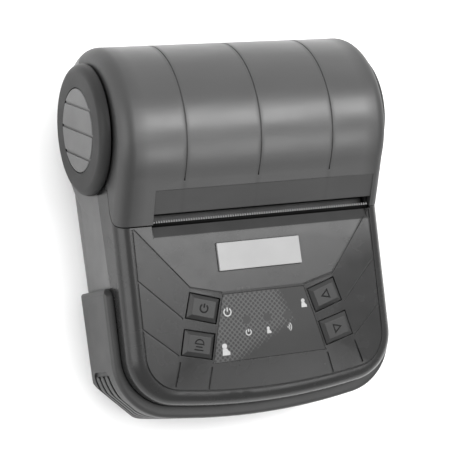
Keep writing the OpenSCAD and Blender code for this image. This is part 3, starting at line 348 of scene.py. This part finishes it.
def blade_skin():
    """Blackened tear bar with bright ground teeth."""
    s = Surface("blade_skin", specular=0.08)
    s.soft_edges(0.05)
    x, v = s.panel()
    turn = 2 * math.pi / TOOTH_PITCH
    gaps = s.calc("COSINE", s.calc("MULTIPLY_ADD", x, turn, -turn * TOOTH_FIRST))
    teeth = s.calc("MULTIPLY", s.calc("GREATER_THAN", v, TOOTH_ROOT),
                   s.calc("MULTIPLY_ADD", gaps, -0.5, 0.5))
    lines = s.noise(900, 4, stretch=(0.08, 1, 1))
    s.bump(lines, 0.004)
    colour = s.mix(teeth, s.between(lines, 0.003, 0.006), 0.30)
    return s.finish(colour, s.wander(0.36, 0.16, 200, 4))


def board_mask():
    """Green solder mask over copper: faint tracks and a ground hatch."""
    s = Surface("board_mask", specular=0.6)
    s.soft_edges(0.1)
    brick = s.add("ShaderNodeTexBrick", {
        "Vector": s.coord, "Scale": 260, "Mortar Size": 0.035,
        "Color1": (0.010, 0.085, 0.035), "Color2": (0.012, 0.105, 0.042),
        "Mortar": (0.022, 0.15, 0.062)})
    s.bump(brick.outputs["Fac"], 0.02)
    return s.finish(brick.outputs["Color"], s.wander(0.28, 0.15, 300, 3))


def ribbon_film():
    """White flat cable with its conductors showing as fine grey lines."""
    s = Surface("ribbon_film")
    turn = 2 * math.pi / (RIBBON_PITCH * MM)
    line = s.calc("GREATER_THAN", s.calc("SINE", s.calc("MULTIPLY", s.xyz["X"], turn)), 0.25)
    s.bump(line, 0.03)
    colour = s.mix(line, (0.72, 0.72, 0.70), (0.40, 0.41, 0.42))
    return s.finish(colour, s.wander(0.35, 0.2, 300, 3))


# Where a moulded plastic is given a depth last, grooves and corners narrower than it get painted
# shade
CASE = moulded("case_plastic", 0.012, 0.26, grain=0.016, specular=0.27, slot_matt=True,
               painted_shade_depth=0.9)
SIDE = moulded("side_plastic", 0.056, 0.42, painted_shade_depth=0.9)
GRIP = moulded("grip_plastic", 0.020, 0.46, grain=0.016, pitch=0.3, edge=0.35, specular=0.35,
               painted_shade_depth=1.2)
HUB_SKIN = moulded("hub_plastic", 0.014, 0.46, grain=0.006, specular=0.15, painted_shade_depth=1.0)
PAD_SKIN = moulded("pad_plastic", 0.048, 0.38, grain=0.008, painted_shade_depth=1.0)
KEY_SKIN = moulded("key_plastic", 0.012, 0.36, grain=0.006, wear=2.0, specular=0.32, painted_shade_depth=0.7)
KEY_MARK = moulded("key_mark", 0.006, 0.6, specular=0.12)
BLACK = moulded("black_plastic", 0.010, 0.5)
HEAD = moulded("black_anodised", 0.006, 0.42, specular=0.3)
LINER = moulded("liner_plastic", 0.016, 0.55)
NATURAL = moulded("natural_plastic", 0.62, 0.42, wear=1.1)
BADGE = moulded("badge_paint", 0.20, 0.40, grain=0.003, wear=1.3, spread=0.05)
STEEL = metal("drawn_steel", (0.56, 0.57, 0.58), 0.32, brushed=(0.1, 1, 1))
BRASS = metal("turned_brass", (0.72, 0.53, 0.25), 0.3)
ZINC = metal("zinc_screw", (0.34, 0.35, 0.37), 0.38)
RUBBER = mottled("platen_rubber_skin", {"scale": 1500, "detail": 4, "stretch": (0.3, 1, 1)},
                 0.016, 0.026, 0.02, (0.62, 0.2, 250, 4), specular=0.35, edge=0.15)
SLEEVE = mottled("cell_sleeve",
                 {"scale": 260, "detail": 5, "rough": 0.6, "stretch": (0.25, 1, 1)},
                 (0.008, 0.045, 0.16), (0.012, 0.07, 0.24), 0.05, (0.25, 0.2, 200, 4), edge=0.3)
LENS = mottled("lamp_lens", {"scale": 500, "detail": 3}, 0.10, 0.135, 0.02, (0.3, 0.1, 300, 3),
               specular=0.6)
INK = mottled("print_ink", {"scale": 700, "detail": 3}, 0.26, 0.31, 0.01, (0.45, 0.1, 400, 3),
              specular=0.4)
LID, WINDOW, BLADE = lid_plastic(), window_film(), blade_skin()
BOARD, RIBBON = board_mask(), ribbon_film()

DRESS = {
    "lower_case": SIDE, "upper_case": CASE, "front_bumper": GRIP, "lid": LID,
    "hinge_pins": STEEL, "hub_left": HUB_SKIN, "hub_right": HUB_SKIN,
    "release_button_left": PAD_SKIN, "release_button_right": PAD_SKIN,
    "release_spring_left": STEEL, "release_spring_right": STEEL,
    "badge_plate": BADGE, "control_window": WINDOW,
    "key_power": KEY_SKIN, "key_feed": KEY_SKIN, "key_back": KEY_SKIN, "key_forward": KEY_SKIN,
    "key_switches": BLACK, "key_board": BOARD, "indicator_lamps": LENS,
    "main_board": BOARD, "board_chips": BLACK, "data_socket": STEEL, "head_cable": RIBBON,
    "battery_pack": SLEEVE, "battery_door": SIDE, "door_screws": ZINC, "case_screws": ZINC,
    "frame_screws": ZINC, "print_frame": LINER, "print_head": HEAD, "head_springs": STEEL,
    "tear_bar": BLADE, "paper_sensor": BLACK, "stepper_motor": STEEL, "motor_pinion": BRASS,
    "idler_gear_lower": NATURAL, "idler_gear_upper": NATURAL, "platen_holder": LINER,
    "platen_shaft": STEEL, "platen_rubber": RUBBER, "platen_bushes": BRASS,
    "platen_gear": NATURAL,
}
# Faces of a node that meet at more degrees than this keep their edge sharp
SHARP = 24


def dress(name, mat):
    """Gives a node its material and smooth shading that stops at its edges."""
    o = nodes[name]
    if not o.data.materials:
        o.data.materials.append(mat)
    for i in range(len(o.data.materials)):
        o.data.materials[i] = mat
    if o.data.has_custom_normals:
        o.data.attributes.remove(o.data.attributes["custom_normal"])
    for p in o.data.polygons:
        p.use_smooth = True
    weld = o.modifiers.new("weld", "WELD")
    weld.merge_threshold = 0.002 * MM
    split = o.modifiers.new("split", "EDGE_SPLIT")
    split.split_angle = math.radians(SHARP)


for name, mat in DRESS.items():
    dress(name, mat)


def piece(name, bm, mat, body, place):
    """Makes an object of a mesh in millimetres at a place, and lets it ride on a body."""
    mesh = bpy.data.meshes.new(name)
    bmesh.ops.transform(bm, matrix=Matrix.Scale(MM, 4) @ place, verts=bm.verts)
    bmesh.ops.recalc_face_normals(bm, faces=bm.faces)
    bm.to_mesh(mesh)
    bm.free()
    mesh.materials.append(mat)
    o = bpy.data.objects.new(name, mesh)
    scene.collection.objects.link(o)
    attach(o, body)
    return o


# Signs reach from just under their surface to just over it
SUNK, PROUD = -0.02, 0.03
# Section of a raised line: part of its width at a part of its height
CREST = ((1.0, 0.0), (1.0, 0.6), (0.72, 1.0))
# Least cosine that a mitre is drawn out by
MITRE = 0.35


def stroke(bm, pts, width, closed=False):
    """A raised line of one width along points, with a narrower crest."""
    n = len(pts)
    vs = [Vector(p) for p in pts]
    rows = []
    for i in range(n):
        a = vs[(i - 1) % n] if closed or i else vs[i]
        b = vs[(i + 1) % n] if closed or i < n - 1 else vs[i]
        d1 = (vs[i] - a).normalized() if (vs[i] - a).length else (b - vs[i]).normalized()
        d2 = (b - vs[i]).normalized() if (b - vs[i]).length else d1
        m = Vector((-(d1 + d2).y, (d1 + d2).x)).normalized()
        reach = m * (width / 2 / max(MITRE, m.dot(Vector((-d1.y, d1.x)))))
        row = []
        for k, h in CREST:
            z = SUNK + (PROUD - SUNK) * h
            row.append([bm.verts.new((*(vs[i] + reach * way * k), z)) for way in (1, -1)])
        rows.append(row)
    for i in range(n if closed else n - 1):
        r, s = rows[i], rows[(i + 1) % n]
        for k in (0, 1):
            bm.faces.new((r[k][0], s[k][0], s[k + 1][0], r[k + 1][0]))
            bm.faces.new((r[k][1], r[k + 1][1], s[k + 1][1], s[k][1]))
        bm.faces.new((r[2][0], s[2][0], s[2][1], r[2][1]))
        bm.faces.new((r[0][0], r[0][1], s[0][1], s[0][0]))
    if not closed:
        for row in (rows[0], rows[-1]):
            for k in (0, 1):
                bm.faces.new((row[k][0], row[k + 1][0], row[k + 1][1], row[k][1]))


def plate(bm, pts):
    """A raised plate with an outline of points."""
    low = [bm.verts.new((x, y, SUNK)) for x, y in pts]
    top = [bm.verts.new((x, y, PROUD)) for x, y in pts]
    bm.faces.new(low[::-1])
    bm.faces.new(top)
    for i, a in enumerate(low):
        j = (i + 1) % len(pts)
        bm.faces.new((a, low[j], top[j], top[i]))


def arc(cx, cy, r, a0, a1, n):
    return [(cx + r * math.cos(math.radians(a0 + (a1 - a0) * i / n)),
             cy + r * math.sin(math.radians(a0 + (a1 - a0) * i / n))) for i in range(n + 1)]


def power_sign(bm, r, width):
    stroke(bm, arc(0, 0, r, 125, 415, 26), width)
    stroke(bm, [(0, r * 0.15), (0, r * 1.18)], width)


def arrow_sign(bm, r, width, way):
    stroke(bm, [(-way * r * 0.62, r * 0.82), (way * r * 0.86, 0), (-way * r * 0.62, -r * 0.82)],
           width, closed=True)


def feed_sign(bm, r, width):
    """The top of a roll with two short lines of paper under it."""
    stroke(bm, arc(0, r * 0.1, r * 0.8, 0, 180, 14), width, closed=True)
    for k, w in ((-0.4, 0.6), (-0.95, 0.85)):
        stroke(bm, [(-r * w, r * k), (r * w, r * k)], width)


def paper_sign(bm, r):
    """A small roll standing on its sheet."""
    plate(bm, arc(-r * 0.12, r * 0.52, r * 0.46, 0, 340, 17))
    plate(bm, [(-r * 0.62, -r), (r * 0.78, -r), (r * 0.78, -r * 0.5), (r * 0.45, -r * 0.22),
               (r * 0.28, r * 0.1), (-r * 0.52, r * 0.1)])


def wave_sign(bm, r, width):
    """Three arcs of a radio wave."""
    for k in (0.3, 0.75, 1.2):
        stroke(bm, arc(-r * 0.6, 0, r * k, -48, 48, 8), width)


# Signs on the keys: name, key, side of the panel, body, drawing and its sizes
KEY_SIGNS = (
    ("sign_power", KEY_UPPER, 1, "power_key", power_sign, (1.35, 0.55)),
    ("sign_feed", KEY_LOWER, 1, "feed_key", feed_sign, (1.9, 0.42)),
    ("sign_back", KEY_UPPER, -1, "back_key", arrow_sign, (1.7, 0.48, -1)),
    ("sign_forward", KEY_LOWER, -1, "forward_key", arrow_sign, (1.7, 0.48, 1)),
)
# Marks on the window: name, x and v, drawing and its sizes
MARKS = (
    ("mark_power", -14.21, -31.96, power_sign, (1.3, 0.42)),
    ("mark_lamp_power", -7.23, -39.44, power_sign, (0.95, 0.36)),
    ("mark_lamp_paper", 0.3, -39.49, paper_sign, (1.15,)),
    ("mark_lamp_radio", 8.12, -39.32, wave_sign, (1.45, 0.3)),
    ("mark_paper_left", -16.37, -44.17, paper_sign, (2.0,)),
    ("mark_paper_right", 14.49, -31.79, paper_sign, (1.5,)),
)


def signs():
    for name, (x, v, turn), side, body, draw, sizes in KEY_SIGNS:
        bm = bmesh.new()
        draw(bm, *sizes)
        place = PANEL @ shift(side * x, v, KEY_TOP) @ rot(side * turn, "Z")
        piece(name, bm, KEY_MARK, body, place)
    for name, x, v, draw, sizes in MARKS:
        bm = bmesh.new()
        draw(bm, *sizes)
        piece(name, bm, INK, "body", PANEL @ shift(x, v, WINDOW_TOP))


signs()

# Springs behind the release buttons, in millimetres: radius, wire's radius, length, x of the
# foot, y and z of the axis
SPRING_R, SPRING_WIRE, SPRING_LENGTH, SPRING_FOOT = 2.45, 0.3, 5.6, 46.7
SPRING_Y, SPRING_Z = 36.600182, 22.2
SPRING_TURNS, SPRING_STEPS, SPRING_SIDES = 4, 24, 10


def release_spring(side, way):
    """Coil spring behind a release button, made at its rest length; it does not close up as the
    button goes in by 1.2 mm.
    """
    bm = bmesh.new()
    rings = SPRING_TURNS * SPRING_STEPS
    rows = []
    for i in range(rings + 1):
        a = 2 * math.pi * i / SPRING_STEPS
        t = SPRING_WIRE + (SPRING_LENGTH - 2 * SPRING_WIRE) * i / rings
        row = []
        for j in range(SPRING_SIDES):
            b = 2 * math.pi * j / SPRING_SIDES
            q = SPRING_R + SPRING_WIRE * math.cos(b)
            row.append(bm.verts.new((way * (SPRING_FOOT + t + SPRING_WIRE * math.sin(b)),
                                     SPRING_Y + q * math.sin(a), SPRING_Z - q * math.cos(a))))
        rows.append(row)
    for r, s in zip(rows, rows[1:]):
        for j in range(SPRING_SIDES):
            k = (j + 1) % SPRING_SIDES
            bm.faces.new((r[j], r[k], s[k], s[j]))
    bm.faces.new(rows[0][::-1])
    bm.faces.new(rows[-1])
    o = piece("coil_" + side, bm, STEEL, "body", Matrix())
    for p in o.data.polygons:
        p.use_smooth = len(p.vertices) == 4
    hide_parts("release_spring_" + side)
    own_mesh(o)


release_spring("left", -1)
release_spring("right", 1)

# Studio, in metres: half side and greys of the floor, strength of the world and its greys from
# front to back, and the lights (name, place, two sides, radiance), which all face one point
FLOOR, FLOOR_GREYS = 3.0, (0.90, 0.92)
WORLD = 2.0
SKY = [(0.0, 0.45), (0.5, 0.5), (0.85, 1.0)]
LIGHTS = (
    ("top_box", (0.335, 0.10, 0.90), 0.32, 0.78, 8.5),
    ("front_strip", (0.43, -0.50, 0.80), 0.40, 0.24, 5.8),
    ("left_box", (-0.90, 0.0, 0.45), 0.50, 0.90, 4.2),
)
AIM = (0.0, 0.0, 0.035)


def area(name, place, width, height, radiance):
    light = bpy.data.lights.new(name, "AREA")
    light.shape = "RECTANGLE"
    light.size, light.size_y = width, height
    light.energy = radiance * math.pi * width * height
    o = bpy.data.objects.new(name, light)
    scene.collection.objects.link(o)
    o.location = place
    o.rotation_mode = "QUATERNION"
    o.rotation_quaternion = (Vector(AIM) - Vector(place)).to_track_quat("-Z", "Y")


def stage():
    bm = bmesh.new()
    bmesh.ops.create_grid(bm, x_segments=24, y_segments=24, size=FLOOR)
    mesh = bpy.data.meshes.new("floor")
    bm.to_mesh(mesh)
    bm.free()
    floor = bpy.data.objects.new("floor", mesh)
    scene.collection.objects.link(floor)
    s = Surface("floor_paper", specular=0.2)
    mesh.materials.append(s.finish(s.between(s.noise(3, 2), *FLOOR_GREYS), 0.8))

    world = bpy.data.worlds.new("studio")
    world.use_nodes = True
    w = Nodes(world.node_tree)
    way = w.add("ShaderNodeTexCoord", {}).outputs["Generated"]
    split = w.add("ShaderNodeSeparateXYZ", {0: way})
    sky = w.ramp(w.calc("MULTIPLY_ADD", split.outputs["Y"], 0.5, 0.5), SKY)
    background = w.tree.nodes["Background"]
    w.feed(sky, background.inputs["Color"])
    w.feed(WORLD, background.inputs["Strength"])
    scene.world = world
    scene.view_settings.view_transform = "Standard"
    for light in LIGHTS:
        area(*light)


stage()
